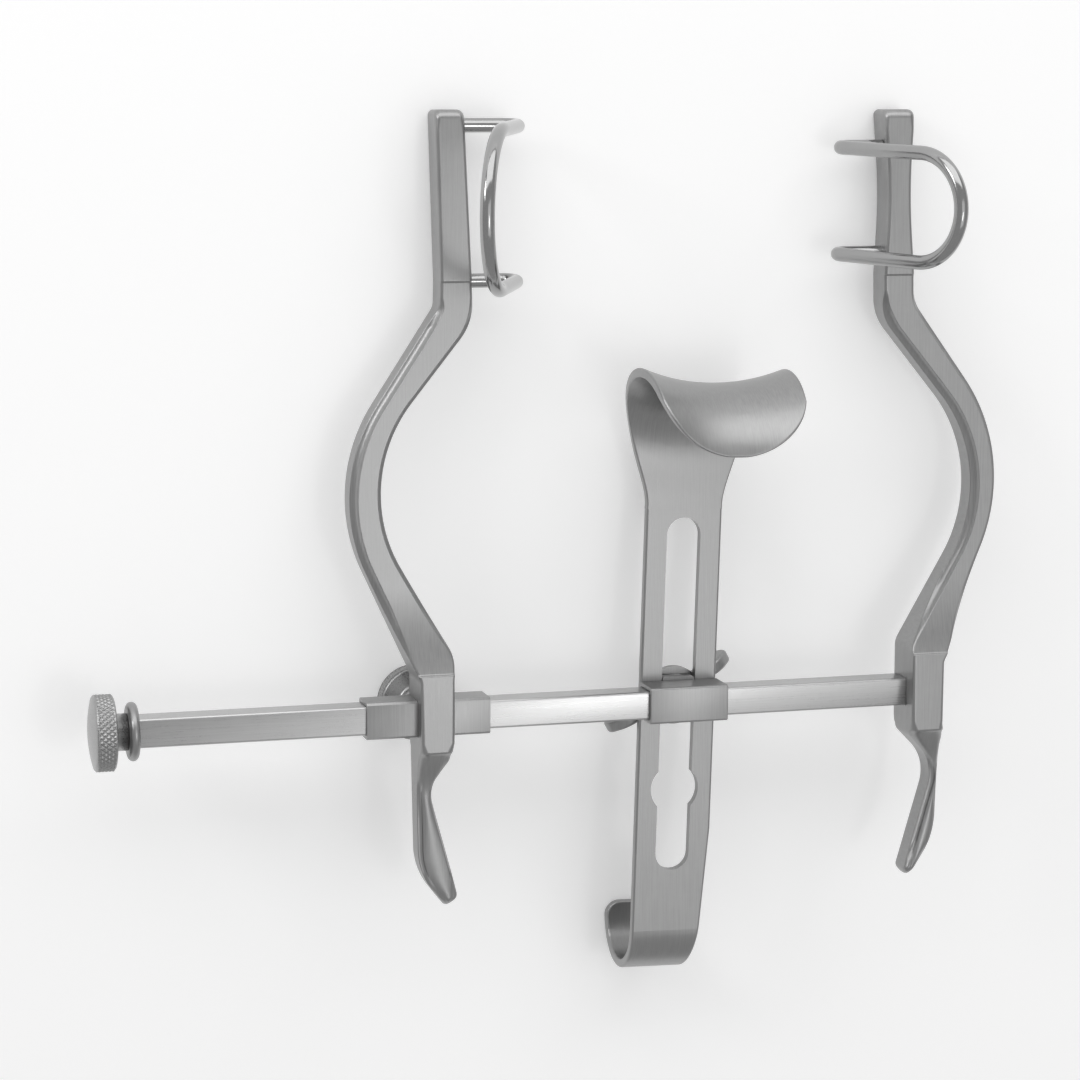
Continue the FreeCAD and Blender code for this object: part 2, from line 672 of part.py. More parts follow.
def makeWasher():
    # Plain washer between the blade and the wing nut.
    body = startBody("clamp_washer", atRest(V(size["clip_centre"], 0, 0)))
    front = bladeFront() - size["blade_thick"] - size["screw_gap"]
    sketch = sketchOn(body, "washer_ring", "XY_Plane", front - size["washer_thick"])
    drawCircle(sketch, (0, 0), size["washer_radius"])
    drawCircle(sketch, (0, 0), size["clamp_radius"] + size["screw_gap"])
    pad = padSketch(body, "washer_pad", sketch, "sizes.washer_thick")

    def rim(middle, tangent, edge):
        return edge.Length > 6 * size["washer_radius"]

    bevelEdges(body, "washer_rim", pad, rim, "sizes.washer_bevel")
    return body


# Corners of one wing from its shoulder round the tip to its root: share of the half span,
# share of the hub's height below the hub's front, and radius as a share of the hub's height.
WING = [(0.75, 0.10, 1.2), (1.02, 0.95, 0.50), (0.87, 1.55, 0.28), (0.54, 1.0, 1.1), (0.26, 0.90, 0.35)]


def makeWingNut():
    # Wing nut: two wings that sweep back, rounded all round, on a tapered hub.
    place = atRest(V(size["clip_centre"], 0, 0), V(0, 0, 1), size["wing_turn"])
    body = startBody("wing_nut", place)
    top = bladeFront() - size["blade_thick"] - size["screw_gap"] - size["washer_thick"]
    foot = top - size["nut_height"]
    radius = size["nut_radius"]
    neck = radius - size["nut_taper"]
    tip = size["wing_span"] / 2
    height = size["nut_height"]
    right = [(across * tip, top - level * height, bend * height) for across, level, bend in WING]
    left = [(-across, level, bend) for across, level, bend in reversed(right)]
    wings = sketchOn(body, "wing_outline", "XZ_Plane")
    drawRounded(wings, right + left)
    pad = padSketch(body, "wing_pad", wings, "sizes.wing_thick", symmetric=True)

    def rim(middle, tangent, edge):
        return abs(abs(middle.y) - size["wing_thick"] / 2) < 0.01

    roundEdges(body, "wing_rounding", pad, rim, "sizes.wing_round")
    hub = sketchOn(body, "hub_section", "XZ_Plane")
    rimFoot = top - size["nut_rim"]
    drawLines(hub, [(0, top), (radius, top), (radius, rimFoot), (neck, foot), (0, foot), (0, top)])
    turnSketch(body, "hub_turn", hub, "V_Axis")
    bore = sketchOn(body, "bore_outline", "XY_Plane")
    drawCircle(bore, (0, 0), size["clamp_radius"] + size["screw_gap"])
    pocketSketch(body, "bore", bore, THROUGH)
    return body


# Sections of the saddle: arch angle in degrees, half width, rise of the side edges.
SADDLE = [
    (0, 16.5, 0.15), (22, 19.5, 0.9), (45, 22.5, 2.4), (68, 24.2, 4.0), (92, 24.4, 4.8),
    (130, 23.4, 5.0), (166, 21.0, 4.6),
]


def saddleSection(body, name, level, front, angle, half, rise):
    """Strip section square to the arch: two shallow arcs joined by the strip's edges."""
    sketch = body.newObject("Sketcher::SketchObject", name)
    sketch.Placement = FreeCAD.Placement(V(0, level, front), FreeCAD.Rotation(V(1, 0, 0), angle - 90))
    thick = size["blade_thick"] / 2
    drawArc(sketch, (-half, rise + thick), (0, thick), (half, rise + thick))
    drawLine(sketch, (half, rise + thick), (half, rise - thick))
    drawArc(sketch, (half, rise - thick), (0, -thick), (-half, rise - thick))
    drawLine(sketch, (-half, rise - thick), (-half, rise + thick))
    sketch.Visibility = False
    return sketch


def hookSection(sketch):
    """Side view of the strip: straight shaft, round hook, short return leg."""
    front = bladeFront()
    back = front - size["blade_thick"]
    axis = (front + back) / 2 - size["hook_radius"]
    outer = size["hook_radius"] + size["blade_thick"] / 2
    inner = outer - size["blade_thick"]
    start = size["hook_start"]
    end = start + size["hook_return"]
    top = size["neck_level"]
    drawArc(sketch, (start, front), (start - outer, axis), (start, axis - outer))
    low = axis - outer
    high = axis - inner
    drawLines(sketch, [(start, low), (end, low), (end, high), (start, high)])
    drawArc(sketch, (start, axis - inner), (start - inner, axis), (start, back))
    drawLines(sketch, [(start, back), (top, back), (top, front), (start, front)])


def cutTaper(body):
    """The strip narrows towards the hook on its free side."""
    half = size["blade_width"] / 2
    high = size["taper_start"]
    low = size["hook_start"] - 2 * size["hook_radius"]
    sketch = sketchOn(body, "hook_taper", "XY_Plane")
    drawRounded(sketch, [
        (half, high, 0), (half - size["taper_knee"], size["hook_start"], size["taper_round"]),
        (half - size["taper_foot"], low, 0), (2 * half, low, 0), (2 * half, high, 0),
    ])
    return pocketSketch(body, "hook_taper_cut", sketch, THROUGH)


def cutSlot(body):
    """Long slot with one round opening that passes over the clamp screw's washer."""
    slot = sketchOn(body, "slot_outline", "XY_Plane")
    wide = size["slot_width"] / 2
    high = size["slot_top"] - wide
    low = size["slot_foot"] + wide
    drawLine(slot, (wide, low), (wide, high))
    drawArc(slot, (wide, high), (0, size["slot_top"]), (-wide, high))
    drawLine(slot, (-wide, high), (-wide, low))
    drawArc(slot, (-wide, low), (0, size["slot_foot"]), (wide, low))
    pocketSketch(body, "slot", slot, -3 * bladeFront())
    key = sketchOn(body, "key_outline", "XY_Plane")
    drawCircle(key, (0, size["key_level"]), size["key_radius"])
    pocketSketch(body, "key_opening", key, -3 * bladeFront())


def loftSaddle(body):
    """The strip flares and arches over forwards, its side edges raised."""
    half = size["blade_width"] / 2
    middle = bladeFront() - size["blade_thick"] / 2
    radius = size["arch_radius"]
    neck = size["neck_level"]
    flare = (neck + size["arch_level"]) / 2
    flareHalf = half + size["flare_gain"]
    sections = [
        saddleSection(body, "neck_section", neck, middle, 0, half, size["neck_rise"]),
        saddleSection(body, "flare_section", flare, middle, 0, flareHalf, size["neck_rise"]),
    ]
    for angle, wideHalf, rise in SADDLE:
        turn = math.radians(angle)
        level = size["arch_level"] + radius * math.sin(turn)
        front = middle + radius - radius * math.cos(turn)
        sections.append(saddleSection(body, "saddle_section", level, front, angle, wideHalf, rise))
    doc.recompute()
    loft = body.newObject("PartDesign::AdditiveLoft", "saddle")
    loft.Profile = sections[0]
    loft.Sections = sections[1:]
    loft.Ruled = False
    doc.recompute()
    return loft


def trimLip(body):
    """The saddle's front edge is a round tongue seen from the front."""
    middle = bladeFront() - size["blade_thick"] / 2
    radius = size["lip_radius"]
    tip = size["lip_tip"]
    spread = math.radians(LIP_SPREAD)
    reach = radius * math.sin(spread)
    high = tip + radius - radius * math.cos(spread)
    wide = 2 * radius
    sketch = sketchOn(body, "lip_outline", "XY_Plane", middle + size["arch_radius"])
    drawArc(sketch, (-reach, high), (0, tip), (reach, high))
    foot = tip - radius
    below = [(wide, high), (wide, foot), (-wide, foot), (-wide, high)]
    drawLines(sketch, [(reach, high)] + below + [(-reach, high)])
    return pocketSketch(body, "lip_cut", sketch, THROUGH / 4, symmetric=False, reverse=True)


def makeBlade():
    """Centre blade: one bent strip with hook, keyed slot and saddle."""
    place = atRest(V(size["clip_centre"], 0, 0), V(0, 0, 1), -size["blade_lean"])
    body = startBody("center_blade", place)
    side = sketchOn(body, "blade_side", "YZ_Plane")
    hookSection(side)
    strip = padSketch(body, "blade_strip", side, "sizes.blade_width", symmetric=True)

    def returnCorner(middle, tangent, edge):
        behind = middle.z < bladeFront() - size["hook_radius"]
        return behind and abs(tangent.z) > 0.99 and middle.y > size["hook_start"]

    roundEdges(body, "hook_corners", strip, returnCorner, "sizes.hook_corner")
    tapered = cutTaper(body)

    def longEdge(middle, tangent, edge):
        below = middle.y < size["neck_level"] - NEAR
        return below and abs(middle.x) > size["slot_width"] / 2 and abs(tangent.x) < 0.9

    roundEdges(body, "blade_edges", tapered, longEdge, "sizes.blade_round")
    cutSlot(body)
    loftSaddle(body)
    trimmed = trimLip(body)

    def saddleEdge(middle, tangent, edge):
        return middle.y > size["neck_level"] + NEAR

    roundEdges(body, "saddle_edges", trimmed, saddleEdge, "sizes.saddle_round")
    return body


def build():
    made = [makeCrossbar(), makeEndStud(), makeCollar(), makeEndKnob()]
    sleeveY = size["bar_height"] / 2 + size["slide_gap"] + size["sleeve_wall"]
    sleeveZ = size["bar_depth"] / 2 + size["slide_gap"] + size["sleeve_wall"]
    sliding = makeArm(
        "sliding_arm", LEFT_ARM, -1, size["left_centre"], size["left_block_top"], size["left_block_foot"],
        (sleeveY, sleeveZ), True,
    )
    fixed = makeArm(
        "fixed_arm", RIGHT_ARM, 1, size["right_centre"], size["right_block_top"], size["right_block_foot"],
        (size["bar_height"] / 2, size["bar_depth"] / 2), False,
    )
    made += [sliding, fixed]
    made.append(makeLoop(
        "left_loop", sliding, LEFT_ARM, size["left_centre"], -1, size["pad_top"] - size["left_wire_drop"],
        size["pad_foot"] + size["left_wire_rise"], size["left_loop_turn"], size["left_loop_out"],
    ))
    made.append(makeLoop(
        "right_loop", fixed, RIGHT_ARM, size["right_centre"], 1, size["pad_top"] - size["right_wire_drop"],
        size["pad_foot"] + size["right_wire_rise"], size["right_loop_turn"], size["right_loop_out"],
    ))
    made += [makeSleeve(), makeBoss(), makeThumbHead(), makeThumbShank(), makeShoe()]
    made += [makeClip(), makeStud(), makeGuide(), makeWasher(), makeWingNut(), makeBlade()]
    return made


parts = build()
doc.recompute()
for item in doc.Objects:
    if "Invalid" in item.State or "Error" in item.State:
        raise RuntimeError(item.Name + " is in an error state")
for item in parts:
    shape = item.Shape
    if shape.isNull() or not shape.isValid():
        raise RuntimeError(item.Label + " has no valid shape")
    shape.exportStep("parts/%s.step" % item.Label)
    box = shape.BoundBox
    corners = (box.XMin, box.XMax, box.YMin, box.YMax, box.ZMin, box.ZMax)
    print(item.Label, len(shape.Solids), round(shape.Volume), [round(corner, 2) for corner in corners])
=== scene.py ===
import json
import math

import bmesh
import bpy
import numpy as np
from mathutils import Matrix, Vector

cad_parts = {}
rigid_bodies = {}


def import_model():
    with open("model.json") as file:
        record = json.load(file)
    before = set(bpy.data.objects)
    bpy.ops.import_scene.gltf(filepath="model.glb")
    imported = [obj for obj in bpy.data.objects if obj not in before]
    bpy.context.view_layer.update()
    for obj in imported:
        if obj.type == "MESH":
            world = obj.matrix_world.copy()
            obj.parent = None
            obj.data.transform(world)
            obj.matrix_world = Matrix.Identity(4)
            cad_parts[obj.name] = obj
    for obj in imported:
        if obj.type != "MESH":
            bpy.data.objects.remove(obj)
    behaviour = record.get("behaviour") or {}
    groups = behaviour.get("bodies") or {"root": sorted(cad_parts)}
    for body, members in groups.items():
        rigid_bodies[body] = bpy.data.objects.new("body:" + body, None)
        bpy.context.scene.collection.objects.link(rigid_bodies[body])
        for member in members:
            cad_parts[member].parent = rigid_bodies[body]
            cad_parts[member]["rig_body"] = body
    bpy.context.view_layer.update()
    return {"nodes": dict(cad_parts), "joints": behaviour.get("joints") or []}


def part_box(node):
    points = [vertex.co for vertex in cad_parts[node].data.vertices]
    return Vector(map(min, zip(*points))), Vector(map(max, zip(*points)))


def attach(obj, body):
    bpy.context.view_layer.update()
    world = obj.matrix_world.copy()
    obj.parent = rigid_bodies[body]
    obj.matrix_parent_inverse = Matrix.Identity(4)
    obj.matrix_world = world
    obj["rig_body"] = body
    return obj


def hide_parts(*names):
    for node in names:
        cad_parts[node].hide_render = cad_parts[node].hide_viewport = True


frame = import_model()
nodes = frame["nodes"]
print("frame loaded,", len(nodes), "pieces")

mm = 0.001  # a millimetre in metres

# The retractor lies on its back. The bar's own frame has X along the bar, Y towards the pads
# and Z out of the bar's front face, and the thumb screw's axis gives how far it leans.
barLeft = -129.0  # where the bar's left end is along X

screwAxis = [joint for joint in frame["joints"] if joint["name"] == "thumbscrew_turn"][0]["axis"]
lean = math.atan2(-screwAxis[1], -screwAxis[2])
barLow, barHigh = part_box("crossbar")
barY, barZ = (barLow.y + barHigh.y) / 2, (barLow.z + barHigh.z) / 2
barPlace = Matrix.Translation((barLow.x - barLeft * mm, barY, barZ))
barFrame = barPlace @ Matrix.Rotation(-lean, 4, "X")
print("bar leans", round(math.degrees(lean), 3), "degrees")


def inFrame(points):
    # Each point in millimetres in the bar's frame, turned by the lean and moved to the bar's
    # place, which gives it in metres where the retractor lies.
    turn = np.array(barFrame.to_3x3())
    return points * mm @ turn.T + np.array(barFrame.translation)


# materials


def linear(code):  # a hex sRGB colour as the linear red, green and blue that a socket takes
    parts = np.array([int(code[i:i + 2], 16) for i in (0, 2, 4)]) / 255.0
    lit = np.where(parts <= 0.04045, parts / 12.92, ((parts + 0.055) / 1.055) ** 2.4)
    return (*lit.tolist(), 1.0)


def addNode(tree, kind, settings=None, values=None, links=None):
    node = tree.nodes.new(kind)
    for key, value in (settings or {}).items():
        setattr(node, key, value)
    for key, value in (values or {}).items():
        node.inputs[key].default_value = value
    for key, source in (links or {}).items():
        tree.links.new(source, node.inputs[key])
    return node


# How far the finest marks run along X, Y and Z of the bar's frame, in millimetres. Real polishing
# lines are under 0.05 mm wide: they are drawn wider, so that they show.
grains = {
    "along": (20.0, 0.3, 1.6),
    "up": (0.3, 20.0, 2.5),
    "round": (0.5, 0.5, 0.5),
}

finishes = {
    # stainless steel, belt polished to satin: an even mid grey with soft wide lights and faint
    # lines that run up the arms and the blade
    "satinSteel": {
        "colour": "9c9c9c", "rough": 0.36, "spread": 0.05, "tone": 0.07, "grain": "up", "depth": 0.004,
    },
    # the same steel, finely brushed along the bar: a little glossier, with long lines; its colour is painted
    # paler than the other steel's, a painted highlight for the brighter light the bar catches
    "satinBarPaintedLight": {
        "colour": "b8b8b8", "rough": 0.29, "spread": 0.04, "tone": 0.05, "grain": "along", "depth": 0.004,
    },
    # drawn stainless wire, buffed: narrow bright lights beside dark reflections
    "polishedWire": {
        "colour": "a2a2a2", "rough": 0.14, "spread": 0.04, "tone": 0.04, "grain": "round", "depth": 0.001,
    },
    # knurled stainless steel: many small lights on the diamonds, with grey grooves between them
    "knurledSteel": {
        "colour": "a2a2a2", "rough": 0.30, "spread": 0.08, "tone": 0.08, "grain": "round", "depth": 0.002,
    },
}

wear = {  # shared by every finish
    "lineDetail": 3.0, "lineRoughness": 0.6,
    "cloud": 6.0,  # handling marks, in millimetres
    "cloudDetail": 4.0, "cloudRoughness": 0.65, "cloudShare": 0.35,
    "roughFrom": (0.35, 1.0), "toneFrom": (0.5, 0.85),  # the part of the noise that is used
    "bump": 0.25,
}


def steel(name):
    finish = finishes[name]
    material = bpy.data.materials.new(name)
    material.use_nodes = True
    tree = material.node_tree
    shader = tree.nodes["Principled BSDF"]
    shader.inputs["Metallic"].default_value = 1.0

    place = addNode(tree, "ShaderNodeTexCoord")
    size = [1.0 / (length * mm) for length in grains[finish["grain"]]]
    lines = addNode(
        tree, "ShaderNodeMapping",
        values={"Rotation": (lean, 0.0, 0.0), "Scale": size},
        links={"Vector": place.outputs["Object"]})
    streak = addNode(
        tree, "ShaderNodeTexNoise",
        values={"Scale": 1.0, "Detail": wear["lineDetail"], "Roughness": wear["lineRoughness"]},
        links={"Vector": lines.outputs["Vector"]})
    cloud = addNode(
        tree, "ShaderNodeTexNoise",
        values={
            "Scale": 1.0 / (wear["cloud"] * mm),
            "Detail": wear["cloudDetail"], "Roughness": wear["cloudRoughness"],
        },
        links={"Vector": place.outputs["Object"]})
    both = addNode(
        tree, "ShaderNodeMath", {"operation": "MULTIPLY_ADD"},
        values={1: wear["cloudShare"]},
        links={0: cloud.outputs["Fac"], 2: streak.outputs["Fac"]})

    rough = addNode(
        tree, "ShaderNodeMapRange",
        values={
            "From Min": wear["roughFrom"][0], "From Max": wear["roughFrom"][1],
            "To Min": finish["rough"] - finish["spread"], "To Max": finish["rough"] + finish["spread"],
        },
        links={"Value": both.outputs["Value"]})
    base = linear(finish["colour"])
    dark = tuple(part * (1.0 - finish["tone"]) for part in base[:3]) + (1.0,)
    light = tuple(min(part * (1.0 + finish["tone"]), 1.0) for part in base[:3]) + (1.0,)
    tone = addNode(
        tree, "ShaderNodeMapRange",
        values={"From Min": wear["toneFrom"][0], "From Max": wear["toneFrom"][1]},
        links={"Value": both.outputs["Value"]})
    colour = addNode(
        tree, "ShaderNodeMix", {"data_type": "RGBA"},
        values={"A": dark, "B": light},
        links={"Factor": tone.outputs["Result"]})
    bump = addNode(
        tree, "ShaderNodeBump",
        values={"Strength": wear["bump"], "Distance": finish["depth"] * mm},
        links={"Height": streak.outputs["Fac"]})
    tree.links.new(rough.outputs["Result"], shader.inputs["Roughness"])
    tree.links.new(colour.outputs["Result"], shader.inputs["Base Color"])
    tree.links.new(bump.outputs["Normal"], shader.inputs["Normal"])
    return material


steels = {name: steel(name) for name in finishes}
worn = {  # every other piece is satin steel
    # the bar takes the steel whose paler colour is a painted highlight
    "crossbar": "satinBarPaintedLight",
    "left_loop": "polishedWire", "right_loop": "polishedWire", "end_stud": "polishedWire",
    "clamp_screw": "polishedWire", "thumbscrew_shank": "polishedWire", "pressure_shoe": "polishedWire",
    "end_knob": "knurledSteel", "thumbscrew_head": "knurledSteel",
}


def dress(piece, finish):
    piece.data.materials.clear()
    piece.data.materials.append(steels[finish])


for name, node in nodes.items():
    dress(node, worn.get(name, "satinSteel"))
print("finishes on", len(nodes), "pieces")


def newPiece(name, points, faces, finish, node):
    # A mesh of these points and faces that stands in for the node and moves with its body.
    mesh = bpy.data.meshes.new(name)
    mesh.from_pydata(points.tolist(), [], faces)
    mesh.polygons.foreach_set("use_smooth", np.ones(len(mesh.polygons), bool))
    piece = bpy.data.objects.new(name, mesh)
    bpy.context.scene.collection.objects.link(piece)
    dress(piece, finish)
    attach(piece, nodes[node]["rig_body"])
    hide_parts(node)
    return piece


def between(rings, around):
    # Faces between each ring of points and the next; the last point of a ring meets its first.
    start = np.arange(rings - 1)[:, None] * around
    point = np.arange(around)[None, :]
    first, ahead = start + point, start + (point + 1) % around
    return np.stack([first, ahead, ahead + around, first + around], -1).reshape(-1, 4).tolist()


# pieces with their edges eased

easing = {"blade_clip": 0.35, "sliding_sleeve": 0.35, "crossbar": 0.25}  # width in millimetres
easeForm = {"merge": 1e-6, "flat": 0.3, "sharp": 28.0, "segments": 3}  # metres, degrees, degrees


def eased(name):
    # A merged copy of the node, with its flat faces made whole and its sharp edges bevelled.
    source = nodes[name]
    mesh = source.data.copy()
    mesh.name = name + "_eased"
    work = bmesh.new()
    work.from_mesh(mesh)
    bmesh.ops.remove_doubles(work, verts=work.verts, dist=easeForm["merge"])
    flat = math.radians(easeForm["flat"])
    bmesh.ops.dissolve_limit(work, angle_limit=flat, verts=work.verts, edges=work.edges)
    work.to_mesh(mesh)
    work.free()
    mesh.polygons.foreach_set("use_smooth", np.ones(len(mesh.polygons), bool))
    piece = bpy.data.objects.new(name + "_eased", mesh)
    bpy.context.scene.collection.objects.link(piece)
    bevel = piece.modifiers.new("ease", "BEVEL")
    bevel.width = easing[name] * mm
    bevel.segments = easeForm["segments"]
    bevel.limit_method = "ANGLE"
    bevel.angle_limit = math.radians(easeForm["sharp"])
    bevel.harden_normals = True
    bevel.use_clamp_overlap = True
    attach(piece, source["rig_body"])
    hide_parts(name)


for name in easing:
    eased(name)
print("edges eased on", len(easing), "pieces")

# knobs

knobForm = {  # millimetres, for both knobs
    "radius": 12.0, "width": 6.3, "dome": 1.5, "domeRows": 12, "shoulder": 0.6,
    "neckRadius": 5.8, "neckBevel": 0.8, "softEdge": 0.12,
    "knurls": 44, "knurlDepth": 0.5, "knurlSlant": 0.8, "knurlSharp": 1.5, "knurlFade": 0.15,
    "perKnurl": 10, "bandRows": 26,
}
knobs = {  # axis out of the knob's face, its open end in the bar's frame, its neck and its bore
    "end_knob_knurled": {
        "node": "end_knob", "axis": (-1.0, 0.0, 0.0), "mouth": (-132.3, 0.0, 0.0),
        "neck": 4.0, "bore": 3.05, "depth": 6.7,
    },
    "thumb_knob_knurled": {
        "node": "thumbscrew_head", "axis": (0.0, 0.0, -1.0), "mouth": (-36.0, 0.0, -14.8),
        "neck": 3.8, "bore": 3.0, "depth": 6.4,
    },
}


def turned(profile, around, relief):
    # Point (i, j) is profile point i (its place along the axis, its radius) turned by j steps
    # about the axis, less the relief there; the first and last points are on the axis.
    place, radius = profile[:, 0], profile[:, 1]
    angle = np.arange(around) * 2 * math.pi / around
    carved = radius[:, None] - relief(place[:, None], angle[None, :])
    along = np.broadcast_to(place[:, None], carved.shape)
    rings = np.stack([along, carved * np.cos(angle), carved * np.sin(angle)], -1)[1:-1]
    points = np.concatenate([rings.reshape(-1, 3), [[place[0], 0, 0], [place[-1], 0, 0]]])
    count = len(rings)
    low, high, last = count * around, count * around + 1, (count - 1) * around
    faces = between(count, around)
    faces += [[low, (step + 1) % around, step] for step in range(around)]
    faces += [[high, last + step, last + (step + 1) % around] for step in range(around)]
    return points, faces


def knurling(place, angle, low, high):
    # Two families of slanted V grooves. A point is as deep as the deeper of the two there, and
    # the grooves fade out at both ends of the band.
    run = (place - low) / knobForm["radius"] * knobForm["knurlSlant"]
    pitch = 2 * math.pi / knobForm["knurls"]
    waves = [np.abs(((angle + way * run) / pitch) % 1.0 - 0.5) * 2 for way in (-1, 1)]
    inside = np.clip(np.minimum(place - low, high - place) / knobForm["knurlFade"], 0, 1)
    return knobForm["knurlDepth"] * np.maximum(*waves) ** knobForm["knurlSharp"] * inside


def knobProfile(neck, bore, depth, low, high):
    # From the bottom of the bore out to the mouth, along the neck, over the shoulder and the
    # band, and over the dome, which is part of a ball, to the axis.
    form = knobForm
    flat = form["radius"] - form["shoulder"]
    rows, soft = form["bandRows"], form["softEdge"]
    profile = [(depth, 0), (depth, bore), (0, bore)]
    profile += [(0, form["neckRadius"] - soft), (soft, form["neckRadius"])]
    profile.append((neck - form["neckBevel"], form["neckRadius"]))
    profile.append((neck, form["neckRadius"] + form["neckBevel"]))
    profile += [(neck, flat - soft), (neck + soft, flat)]
    profile += [(low + (high - low) * step / rows, form["radius"]) for step in range(rows + 1)]
    ball = (flat ** 2 + form["dome"] ** 2) / (2 * form["dome"])
    top = neck + form["width"] + form["dome"]
    spread = math.asin(flat / ball)
    for step in range(form["domeRows"]):
        tilt = spread * (1 - step / form["domeRows"])
        profile.append((top - ball + ball * math.cos(tilt), ball * math.sin(tilt)))
    return np.array(profile + [(top, 0)], float)


def makeKnob(name):
    knob, form = knobs[name], knobForm
    low = knob["neck"] + form["shoulder"]
    high = knob["neck"] + form["width"] - form["shoulder"]
    profile = knobProfile(knob["neck"], knob["bore"], knob["depth"], low, high)
    around = form["knurls"] * form["perKnurl"]
    points, faces = turned(profile, around, lambda place, angle: knurling(place, angle, low, high))
    upward = [0.0, 1.0, 0.0]
    stand = np.array([knob["axis"], upward, np.cross(knob["axis"], upward)], float)
    newPiece(name, inFrame(points @ stand + np.array(knob["mouth"])), faces, "knurledSteel", knob["node"])


for name in knobs:
    makeKnob(name)
print("knobs knurled")

# arms

arms = {  # corners of the outlines: outwards from the block's centre, level above the bar, radius
    "sliding_arm": {
        "side": -1, "centre": -36.0, "top": 14.3, "foot": -10.5, "tip": (-4.4, -62.6, 1.2),
        "outer": [
            (-5.0, 190.0, 0), (-1.4, 190.0, 2.8), (-2.9, 137.0, 6.0), (-2.7, 129.0, 5.0),
            (33.5, 73.7, 54.3), (5.5, 13.0, 6.0), (5.4, -8.5, 8.0), (4.7, -50.7, 33.7),
        ],
        "inner": [
            (-8.1, -59.0, 2.5), (1.5, -23.5, 10.0), (-4.8, -13.9, 3.8), (-5.5, -7.0, 2.0),
            (-5.5, 13.0, 4.0), (-6.1, 19.9, 13.4), (25.6, 75.2, 50.9), (-13.6, 124.2, 17.9),
            (-13.1, 137.0, 6.0), (-10.8, 190.0, 2.8), (-7.0, 190.0, 0),
        ],
    },
    "fixed_arm": {
        "side": 1, "centre": 129.4, "top": 13.1, "foot": -12.4, "tip": (-2.9, -63.6, 1.2),
        "outer": [
            (-9.0, 190.0, 0), (-5.6, 190.0, 2.8), (-6.9, 163.0, 200.0), (-4.9, 137.0, 6.0),
            (-4.8, 128.6, 28.0), (32.8, 77.0, 57.2), (8.6, 16.9, 9.8), (5.5, 10.5, 3.0),
            (5.5, -10.0, 4.0), (6.9, -15.0, 8.0), (5.9, -50.1, 30.2),
        ],
        "inner": [
            (-4.5, -61.0, 2.2), (5.9, -25.3, 14.3), (-5.2, -13.8, 3.5), (-5.5, -9.0, 2.0),
            (-5.5, 12.0, 4.0), (-5.5, 15.7, 9.5), (27.1, 72.2, 50.5), (-15.0, 123.3, 16.0),
            (-15.3, 137.0, 6.0), (-14.0, 163.0, 200.0), (-16.3, 190.0, 2.8), (-12.6, 190.0, 0),
        ],
    },
}
armForm = {  # millimetres, for both arms
    "front": 4.5, "back": -6.9, "blockFront": 10.6,  # faces of the pad, the back and the block
    "padFoot": 137.0, "padTop": 190.0, "padRound": 3.0, "padStep": 0.45,
    "edge": 0.5, "rise": 30.0, "fall": 15.0,  # the block's crisp edge, and its blend up and down
    "fluteWide": 2.3, "fluteDrop": 2.6, "fluteHollow": 0.4, "farFlute": 1.3,
    "gripDish": 1.2, "gripCrown": 0.45, "tipRound": 3.0, "tipLeast": 0.02, "backRound": 1.3,
    "steepest": 1.6, "arcStep": 0.3,  # the slope past which a corner widens no more, and an arc's points
    "frontShare": 0.42, "backShare": 0.4,  # the most that a corner takes of the slice
    "cornerPoints": 11, "backPoints": 6,
    "acrossFront": [
        0.02, 0.06, 0.12, 0.2, 0.26, 0.31, 0.35, 0.39, 0.43, 0.48, 0.56, 0.64, 0.73, 0.82, 0.9, 0.95, 0.98,
    ],
    "acrossSide": [0.04, 0.25, 0.5, 0.75, 0.96],
}
armRows = {  # how far apart the slices are, in millimetres, and over what run they are closer
    "row": 0.5, "endRow": 0.15, "tipRun": 4.0, "topRun": 3.4, "crispRow": 0.16, "crispRun": 2.0,
    "crispFoot": 0.8, "first": 0.03, "last": 0.02,
}
armSteps = {  # what changes along an arm: the mark, millimetres above it, the value there
    "blockEdge": [("foot", -0.7, 1), ("foot", 0.5, 0), ("block", 0, 0), ("block", 0.5, 1)],
    "padStep": [("padFoot", -0.3, 0), ("padFoot", 0.3, 1)],
    "backLift": [("tip", 0, 0.8), ("foot", 0, 0.8), ("foot", 1.2, 0), ("padTop", -1.5, 0), ("padTop", 0, 1)],
    "flute": [
        ("tip", 3, 0), ("tip", 12, 1), ("foot", -14, 1), ("foot", -6, 0),
        ("block", 5, 0), ("block", 22, 1), ("padFoot", -14, 1), ("padFoot", -5, 0),
    ],
    "fluteSize": [("foot", -6, 0.62), ("block", 5, 1)],
    "plain": [
        ("tip", 0, 1.6), ("foot", -12, 1.6), ("foot", -1.5, 3.2), ("foot", 3, 1.2), ("block", 1, 0.8),
        ("block", 20, 1.1), ("padFoot", 0, 1.1), ("padTop", -6, 1.2), ("padTop", 0, 2.4),
    ],
    "grip": [("foot", -22, 1), ("foot", -10, 0)],
}


def roundedLine(corners):
    # A line through the corners, where each corner is an arc of its own radius that touches both
    # runs. An arc takes at most half of a run.
    spots = [np.array(corner[:2], float) for corner in corners]
    line = [spots[0]]
    for before, spot, after, corner in zip(spots, spots[1:], spots[2:], corners[1:]):
        come, go = (spot - before) / math.dist(spot, before), (after - spot) / math.dist(after, spot)
        turn = math.atan2(come[0] * go[1] - come[1] * go[0], come @ go)
        slant = math.tan(abs(turn) / 2)
        reach = min(corner[2] * slant, 0.5 * math.dist(spot, before), 0.5 * math.dist(after, spot))
        radius = reach / max(slant, 1e-6)
        start = spot - come * reach
        middle = start + math.copysign(radius, turn) * np.array([-come[1], come[0]])
        sweep = np.linspace(0.0, turn, 3 + int(radius * abs(turn) / armForm["arcStep"]))[:, None]
        spoke = start - middle
        line += list(middle + np.cos(sweep) * spoke + np.sin(sweep) * np.array([-spoke[1], spoke[0]]))
    return np.array(line + [spots[-1]])


